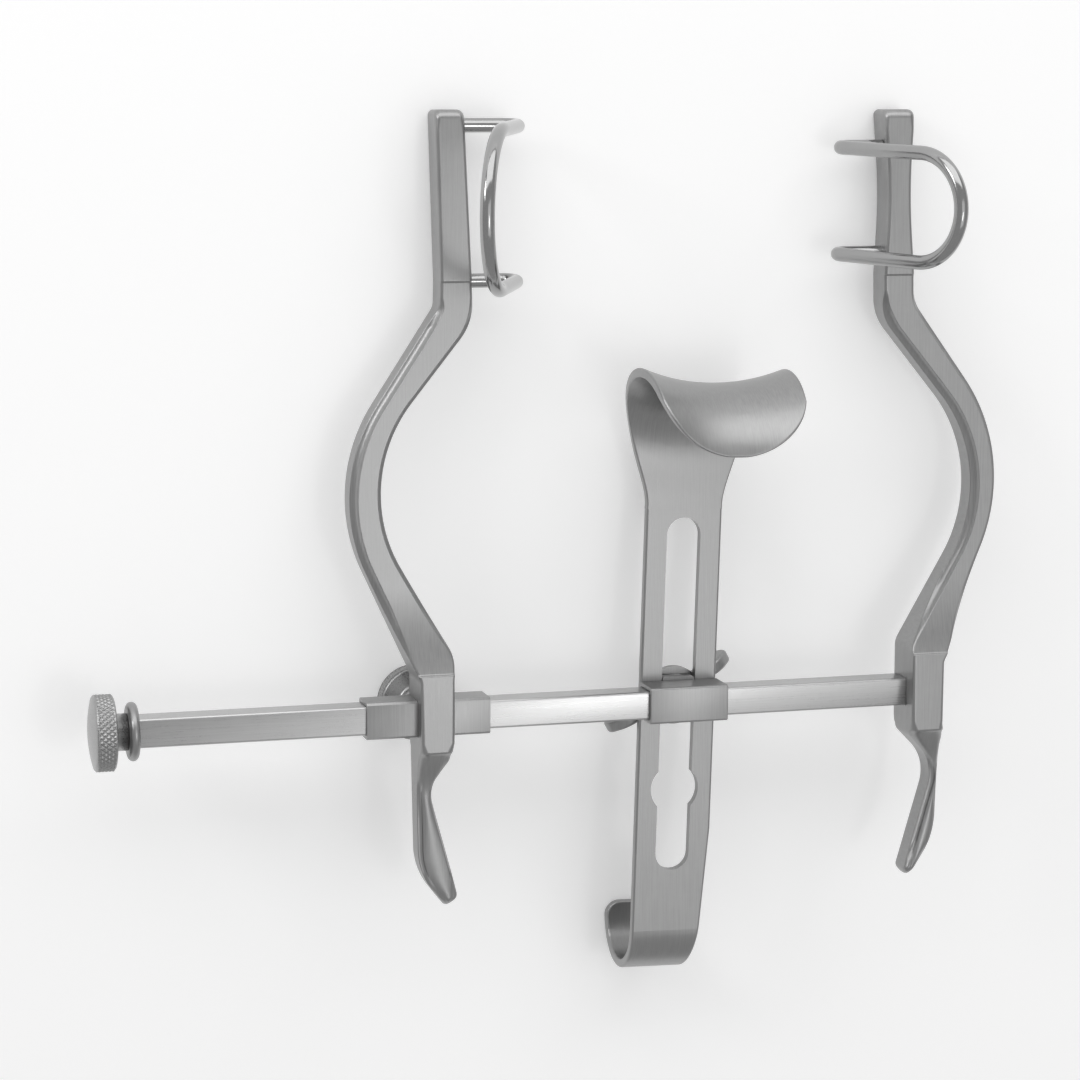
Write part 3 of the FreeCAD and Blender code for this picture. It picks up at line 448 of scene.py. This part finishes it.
def armLevels(arm, tip):
    # Even rows from the tip to the top, with closer ones at both ends and at each crisp edge.
    rows, top = armRows, armForm["padTop"]
    low = tip + rows["first"]
    level = [np.arange(low, top, rows["row"])]
    level.append(np.arange(low, tip + rows["tipRun"], rows["endRow"]))
    level.append(np.arange(top - rows["topRun"], top - rows["last"], rows["endRow"]))
    for at in (arm["top"], arm["foot"] - rows["crispFoot"], armForm["padFoot"]):
        level.append(np.arange(at - rows["crispRun"], at + rows["crispRun"], rows["crispRow"]))
    return np.unique(np.round(np.concatenate(level), 3))


def armOutline(arm):
    # The outline is one rounded line round the tip; its two sides are read off at every level.
    line = roundedLine(arm["outer"] + [arm["tip"]] + arm["inner"])
    lowest = int(np.argmin(line[:, 1]))
    tip = line[lowest, 1]
    level = armLevels(arm, tip)
    down, upward = line[:lowest + 1][::-1], line[lowest:]
    outer, inner = (np.interp(level, edge[:, 1], edge[:, 0]) for edge in (down, upward))
    edges = np.sort(arm["centre"] + arm["side"] * np.stack([outer, inner]), axis=0)
    return level, tip, edges


def armFaces(arm, level, tip, steps):
    # Front and back of each slice. The block stands proud by the square of what is left of its
    # rise and its fall, the pad's top is a quarter of a circle, and the tip is part of an ellipse.
    form = armForm
    face = form["front"] - form["padStep"]
    above = np.clip((level - arm["top"]) / form["rise"], 0, 1)
    below = np.clip((arm["foot"] - level) / form["fall"], 0, 1)
    proud = form["blockFront"] - face - form["edge"] * steps["blockEdge"]
    front = face + proud * (1 - above) ** 2 * (1 - below) ** 2 + form["padStep"] * steps["padStep"]
    ease = form["padRound"]
    near = np.clip(level - (form["padTop"] - ease), 0, ease)
    front = front - (ease - np.sqrt(ease ** 2 - near ** 2 + 1e-9))
    back = form["back"] + steps["backLift"]
    blunt = np.sqrt(1 - (1 - np.clip((level - tip) / form["tipRound"], form["tipLeast"], 1)) ** 2)
    middle = (front + back) / 2
    return middle + (front - middle) * blunt, middle + (back - middle) * blunt, blunt


def quarter(share, wide, drop):
    # Quarter of an ellipse from the side (share 0) to the face (share 1): how far in and down.
    bend = share * math.pi / 2
    return wide * (1 - np.cos(bend)), drop * (1 - np.sin(bend))


def frontCorner(cut, reach):
    # From the side to the front. A plain corner is a quarter of an ellipse. A flute is a straight
    # bevel with half a sine wave hollowed out of it. The two are mixed by how fluted the arm is.
    form = armForm
    share = np.linspace(0, 1, form["cornerPoints"])[None, :]
    wide = np.minimum(form["frontShare"] * cut["wide"], cut["plain"] * cut["stretch"])
    deep = np.minimum(form["frontShare"] * cut["deep"], cut["plain"])
    plainIn, plainDown = quarter(share, wide, deep)
    size = reach * cut["fluteSize"]
    dish = form["fluteHollow"] * size * (1 + form["gripDish"] * cut["grip"]) * np.sin(math.pi * share)
    fluteIn = form["fluteWide"] * size * cut["stretch"] * share + dish
    fluteDown = form["fluteDrop"] * size * (1 - share) + dish
    fluted = cut["flute"]
    return plainIn * (1 - fluted) + fluteIn * fluted, plainDown * (1 - fluted) + fluteDown * fluted


def armRing(edges, front, back, blunt, steps, level):
    # Across (x) and depth (z) of each slice's ring: over the left corner, the front, the right
    # corner, the right side, the back and the left side.
    form = armForm
    slope = np.gradient(edges.mean(0), level)
    cut = {key: value[:, None] for key, value in steps.items()}
    cut["wide"], cut["deep"] = (edges[1] - edges[0])[:, None], (front - back)[:, None]
    cut["stretch"] = np.sqrt(1 + np.clip(slope, -form["steepest"], form["steepest"]) ** 2)[:, None]
    low, high, front, back = edges[0][:, None], edges[1][:, None], front[:, None], back[:, None]

    # the grip's face is crowned: it falls with the square of the distance from its middle
    crown = form["gripCrown"] * cut["grip"] * blunt[:, None]
    leftIn, leftDown = frontCorner(cut, 1.0)
    rightIn, rightDown = frontCorner(cut, form["farFlute"] / form["fluteWide"])
    left = low + leftIn, front - leftDown - crown
    right = (high - rightIn)[:, ::-1], (front - rightDown)[:, ::-1] - crown
    share = np.array(form["acrossFront"])
    face = left[0][:, -1:] + (right[0][:, :1] - left[0][:, -1:]) * share, front - crown * (2 * share - 1) ** 2

    wide = np.minimum(form["backShare"] * cut["wide"], form["backRound"] * cut["stretch"])
    deep = np.minimum(form["backShare"] * cut["deep"], form["backRound"])
    backIn, backUp = quarter(np.linspace(0, 1, form["backPoints"])[None, :], wide, deep)
    backRight = high - backIn, back + backUp
    backLeft = (low + backIn)[:, ::-1], (back + backUp)[:, ::-1]

    share = np.array(form["acrossSide"])
    sides = []
    for here, there in ((right, backRight), (backRight, backLeft), (backLeft, left)):
        sides.append([a[:, -1:] + (b[:, :1] - a[:, -1:]) * share for a, b in zip(here, there)])
    order = [left, face, right, sides[0], backRight, sides[1], backLeft, sides[2]]
    return (np.concatenate([part[axis] for part in order], 1) for axis in (0, 1))


def armSkin(name):
    # Level slices of the arm, one closed ring of points at each, joined from the tip to the top.
    arm, form = arms[name], armForm
    level, tip, edges = armOutline(arm)
    marks = {"tip": tip, "foot": arm["foot"], "block": arm["top"]}
    marks.update(padFoot=form["padFoot"], padTop=form["padTop"])
    steps = {}
    for key, rows in armSteps.items():
        places = [marks[mark] + over for mark, over, value in rows]
        steps[key] = np.interp(level, places, [value for mark, over, value in rows])
    front, back, blunt = armFaces(arm, level, tip, steps)
    x, z = armRing(edges, front, back, blunt, steps, level)
    rings, around = x.shape
    points = np.stack([x, np.broadcast_to(level[:, None], x.shape), z], -1)
    faces = between(rings, around)
    faces += [list(range(around))[::-1], list(range((rings - 1) * around, rings * around))]
    return newPiece(name + "_forged", inFrame(points.reshape(-1, 3)), faces, "satinSteel", name)


passages = {  # half height of the square way through each block, and radius of the screw's hole
    "sliding_arm": {"half": 5.85, "screw": 3.05},
    "fixed_arm": {"half": 4.6, "screw": 0.0},
}
cutting = {"reach": 8.0, "past": 1.0, "around": 64}  # half length of the way, overrun, points round


def prism(low, high):
    # A straight prism between two outlines of (x, y, z) points in the bar's frame.
    count = len(low)
    faces = [[i, (i + 1) % count, (i + 1) % count + count, i + count] for i in range(count)]
    faces += [list(range(count))[::-1], list(range(count, 2 * count))]
    mesh = bpy.data.meshes.new("cutter")
    mesh.from_pydata(inFrame(np.concatenate([low, high])).tolist(), [], faces)
    cutter = bpy.data.objects.new("cutter", mesh)
    bpy.context.scene.collection.objects.link(cutter)
    work = bmesh.new()
    work.from_mesh(mesh)
    bmesh.ops.recalc_face_normals(work, faces=work.faces)
    work.to_mesh(mesh)
    work.free()
    return cutter


def cutPassages(piece, name):
    # The bar's square way runs through the block, and the screw's hole comes in from the back.
    way = passages[name]
    middle = np.array([arms[name]["centre"], 0.0, 0.0])
    square = np.array([[0, -1, -1], [0, 1, -1], [0, 1, 1], [0, -1, 1]], float) * way["half"] + middle
    reach = np.array([cutting["reach"], 0.0, 0.0])
    cutters = [prism(square - reach, square + reach)]
    if way["screw"]:
        turn = np.arange(cutting["around"]) * 2 * math.pi / cutting["around"]
        ring = np.stack([np.cos(turn), np.sin(turn), 0 * turn], -1) * way["screw"] + middle
        behind, inside = armForm["back"] - cutting["past"], cutting["past"] - way["half"]
        cutters.append(prism(ring + [0, 0, behind], ring + [0, 0, inside]))
    for cutter in cutters:
        cut = piece.modifiers.new("cut", "BOOLEAN")
        cut.operation, cut.solver, cut.object = "DIFFERENCE", "EXACT", cutter
    graph = bpy.context.evaluated_depsgraph_get()
    mesh = bpy.data.meshes.new_from_object(piece.evaluated_get(graph))
    piece.modifiers.clear()
    piece.data = mesh
    for cutter in cutters:
        bpy.data.objects.remove(cutter)


for name in arms:
    arm = armSkin(name)
    cutPassages(arm, name)
    print(name, "drawn with", len(arm.data.polygons), "faces")

# floor, lamps and camera

room = {
    "floor": 6.0, "floorColour": "f6f6f6", "floorRough": 0.9,  # side in metres
    "world": 0.5,
    "lift": 0.2,  # how much the floor is lifted towards white
}

half = room["floor"] / 2
floorMesh = bpy.data.meshes.new("floor")
floorCorners = [(-half, -half, 0), (half, -half, 0), (half, half, 0), (-half, half, 0)]
floorMesh.from_pydata(floorCorners, [], [(0, 1, 2, 3)])
floor = bpy.data.objects.new("floor", floorMesh)
bpy.context.scene.collection.objects.link(floor)


def paleFloor():
    # Matt white paper: even and without lights. What the camera, steel and clear things see of it
    # is lifted towards white, and the shadows stay.
    paper = bpy.data.materials.new("paleFloor")
    paper.use_nodes = True
    tree = paper.node_tree
    sheet = tree.nodes["Principled BSDF"]
    sheet.inputs["Base Color"].default_value = linear(room["floorColour"])
    sheet.inputs["Roughness"].default_value = room["floorRough"]
    path = addNode(tree, "ShaderNodeLightPath")
    either = addNode(
        tree, "ShaderNodeMath", {"operation": "MAXIMUM"},
        links={0: path.outputs["Is Camera Ray"], 1: path.outputs["Is Glossy Ray"]})
    lifted = addNode(
        tree, "ShaderNodeMath", {"operation": "MAXIMUM"},
        links={0: either.outputs["Value"], 1: path.outputs["Is Transmission Ray"]})
    lift = addNode(
        tree, "ShaderNodeMath", {"operation": "MULTIPLY"},
        values={1: room["lift"]}, links={0: lifted.outputs["Value"]})
    glow = addNode(tree, "ShaderNodeEmission", links={"Strength": lift.outputs["Value"]})
    both = addNode(tree, "ShaderNodeAddShader", links={0: sheet.outputs["BSDF"], 1: glow.outputs["Emission"]})
    tree.links.new(both.outputs["Shader"], tree.nodes["Material Output"].inputs["Surface"])
    return paper


floorMesh.materials.append(paleFloor())

world = bpy.data.worlds.new("studio")
world.use_nodes = True
world.node_tree.nodes["Background"].inputs["Color"].default_value = (1.0, 1.0, 1.0, 1.0)
world.node_tree.nodes["Background"].inputs["Strength"].default_value = room["world"]
bpy.context.scene.world = world

lamps = {  # place in the bar's frame in millimetres, width and height, watts
    "overBar": {"at": (286.0, -120.0, 1200.0), "size": (255.0, 160.0), "power": 0.6},
    "front": {"at": (333.0, -60.0, 1200.0), "size": (900.0, 900.0), "power": 1.5},
    "top": {"at": (0.0, 1300.0, 750.0), "size": (2200.0, 1100.0), "power": 11.0},
    "left": {"at": (-1300.0, 850.0, 650.0), "size": (500.0, 500.0), "power": 4.0},
}
for name, lamp in lamps.items():
    data = bpy.data.lights.new(name, "AREA")
    data.shape = "RECTANGLE"
    data.size, data.size_y = (length * mm for length in lamp["size"])
    data.energy = lamp["power"]
    shown = bpy.data.objects.new(name, data)
    bpy.context.scene.collection.objects.link(shown)
    at = Vector(inFrame(np.array([lamp["at"]]))[0])
    shown.location = at
    shown.rotation_euler = (-at).to_track_quat("-Z", "Y").to_euler()

# the photograph's view: degrees round and above the bar, then millimetres
photo = {"turn": 15.5, "tip": 8.3, "distance": 960.0, "lift": 54.048, "lens": 100.0, "sensor": 36.0}
turn, tip = math.radians(photo["turn"]), math.radians(photo["tip"])
right = Vector((math.cos(turn), 0.0, math.sin(turn)))
back = Vector((-math.sin(turn) * math.cos(tip), math.sin(tip), math.cos(turn) * math.cos(tip)))
up = back.cross(right)
seen = Matrix((right, up, back)).transposed().to_4x4()
seen.translation = (back * photo["distance"] + up * photo["lift"]) * mm
cameraData = bpy.data.cameras.new("photoCamera")
cameraData.lens, cameraData.sensor_width = photo["lens"], photo["sensor"]
camera = bpy.data.objects.new("photoCamera", cameraData)
bpy.context.scene.collection.objects.link(camera)
camera.matrix_world = barFrame @ seen
bpy.context.scene.camera = camera
bpy.context.scene.view_settings.view_transform = "Standard"
print("room, lamps and camera set")
